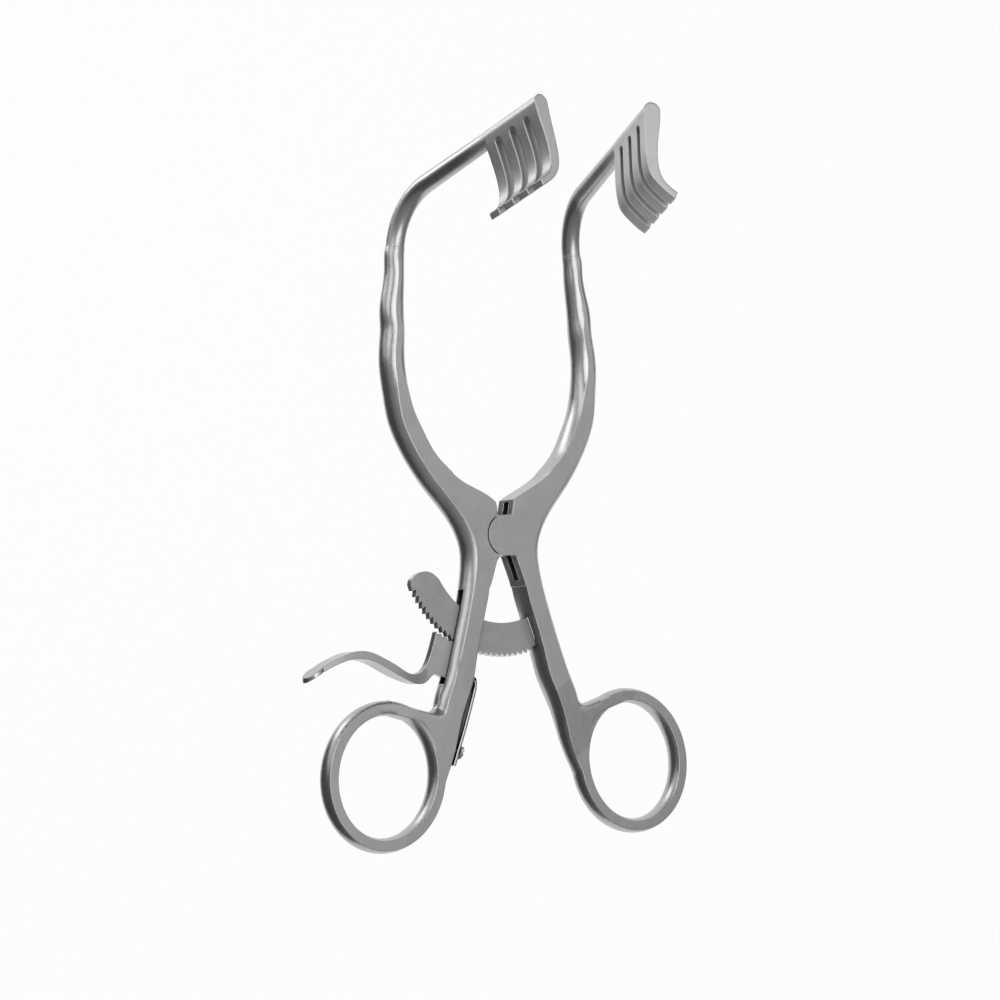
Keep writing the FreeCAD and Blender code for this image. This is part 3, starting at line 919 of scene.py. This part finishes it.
@dataclass
class Studio:
    """Pale floor, dark card, soft lamps and grey sky; metres."""

    floor_drop: float = 0.35
    floor_side: float = 5.0
    floor_color: Triple = (0.94, 0.94, 0.94)
    floor_roughness: float = 0.85
    even_share: float = 0.95
    backdrop_drop: float = 2.0 * MM
    backdrop_side: float = 80.0
    card_corner: Pair = (-0.11, 0.26)
    card_lift: float = 1.0 * MM
    card_side: float = 2.4
    card_color: Triple = (0.13, 0.13, 0.13)
    card_roughness: float = 0.9
    sky_ends: Pair = (0.12, 0.45)
    sky_stops: tuple[Pair, ...] = ((0.45, 0.14), (0.52, 0.22), (0.70, 0.28), (0.85, 0.36))
    sky_blue: float = 1.02
    lamps: tuple[Lamp, ...] = (
        Lamp("overhead_lamp", (-0.1, 0.12, 1.3), (1.0, 1.3), 7.0),
        Lamp("window_lamp", (-0.95, 0.6, 0.4), (0.75, 0.75), 2.3),
        Lamp("low_lamp", (-0.17, 0.25, -0.2), (0.15, 0.15), 0.13),
        Lamp("side_lamp", (1.1, 0.5, 0.9), (0.7, 0.7), 1.6),
    )

    def build(self) -> None:
        """Set up the floor, the card, the sky and the lamps."""
        self.build_floor()
        self.build_card()
        self.build_sky()
        for lamp in self.lamps:
            lamp.hang()
        bpy.context.scene.view_settings.view_transform = "Standard"

    def build_floor(self) -> None:
        """Lay a pale floor below the object, which carries on far behind it for low views."""
        paint = self.floor_paint()
        below = -self.backdrop_drop - self.floor_drop
        backdrop = self.sheet("backdrop", (0.0, 0.0, below), self.backdrop_side, paint)
        backdrop.visible_glossy = False
        self.sheet("floor", (0.0, 0.0, -self.floor_drop), self.floor_side, paint)

    def build_card(self) -> None:
        """Lay a dark card beside the camera's view, which the left hand walls mirror."""
        paper = bpy.data.materials.new("dark_card")
        paper.use_nodes = True
        surface = NodeBench(paper).only("BSDF_PRINCIPLED")
        surface.inputs["Base Color"].default_value = (*self.card_color, 1.0)
        surface.inputs["Roughness"].default_value = self.card_roughness
        corner_x, corner_y = self.card_corner
        half = self.card_side / 2
        place = (corner_x - half, corner_y - half, self.card_lift - self.floor_drop)
        card = self.sheet("dark_card", place, self.card_side, paper)
        card.visible_camera = False
        card.visible_shadow = False
        card.visible_diffuse = False

    def sheet(
        self, name: str, place: Triple, side: float, paint: bpy.types.Material
    ) -> bpy.types.Object:
        """Lay a flat square that is no part of the object.

        Args:
            name: Name of the sheet.
            place: Its middle, in metres.
            side: Its side, in metres.
            paint: Its material.

        Returns:
            The sheet.
        """
        mesh = bmesh.new()
        bmesh.ops.create_grid(mesh, x_segments=1, y_segments=1, size=side / 2)
        bmesh.ops.translate(mesh, verts=mesh.verts, vec=place)
        sheet = object_from(mesh, name, paint)
        return sheet

    def floor_paint(self) -> bpy.types.Material:
        """Mix white paint, which keeps the shadows, with an even white for what looks at it.

        Returns:
            The floor's material.
        """
        paint = bpy.data.materials.new("pale_floor")
        paint.use_nodes = True
        nodes = NodeBench(paint)
        surface = nodes.only("BSDF_PRINCIPLED")
        surface.inputs["Base Color"].default_value = (*self.floor_color, 1.0)
        surface.inputs["Roughness"].default_value = self.floor_roughness
        surface.inputs["Specular IOR Level"].default_value = 0.0
        rays = nodes.add("ShaderNodeLightPath").outputs
        seen = nodes.math("ADD", rays["Is Camera Ray"], rays["Is Glossy Ray"])
        seen = nodes.math("ADD", seen, rays["Is Transmission Ray"])
        share = nodes.math("MULTIPLY", nodes.math("MINIMUM", seen, 1.0), self.even_share)
        glow = nodes.add("ShaderNodeEmission")
        glow.inputs["Color"].default_value = (1.0, 1.0, 1.0, 1.0)
        glow.inputs["Strength"].default_value = 1.0
        mix = nodes.add("ShaderNodeMixShader")
        nodes.link(share, mix.inputs[0])
        nodes.link(surface.outputs[0], mix.inputs[1])
        nodes.link(glow.outputs[0], mix.inputs[2])
        nodes.link(mix.outputs[0], nodes.only("OUTPUT_MATERIAL").inputs["Surface"])
        return paint

    def build_sky(self) -> None:
        """Surround the scene with a soft grey that is darker towards the horizon."""
        world = bpy.data.worlds.new("studio")
        world.use_nodes = True
        nodes = NodeBench(world)
        height = nodes.upward_part(nodes.place().outputs["Generated"])
        ramp = nodes.add("ShaderNodeValToRGB")
        stops = ramp.color_ramp.elements
        for stop, grey in zip(stops, self.sky_ends):
            stop.color = (grey, grey, grey, 1.0)
        for position, grey in self.sky_stops:
            stops.new(position).color = (grey, grey, grey * self.sky_blue, 1.0)
        nodes.link(nodes.math("MULTIPLY_ADD", height, 0.5, 0.5), ramp.inputs["Fac"])
        nodes.link(ramp.outputs["Color"], nodes.only("BACKGROUND").inputs["Color"])
        bpy.context.scene.world = world


def main() -> None:
    """Build and dress every sub-assembly in order."""
    logging.basicConfig(level=logging.INFO, format="%(name)s: %(message)s")
    Branch(Side.LEFT, LEFT_FORGING).dress()
    Branch(Side.RIGHT, RIGHT_FORGING).dress()
    LapJoint().dress()
    rack = RatchetRack()
    rack.dress()
    rack.build_bead()
    ReleaseLever().dress()
    spring = LeafSpring()
    spring.dress()
    spring.build()
    Studio().build()
    PhotoCamera().build()


if __name__ == "__main__":
    main()
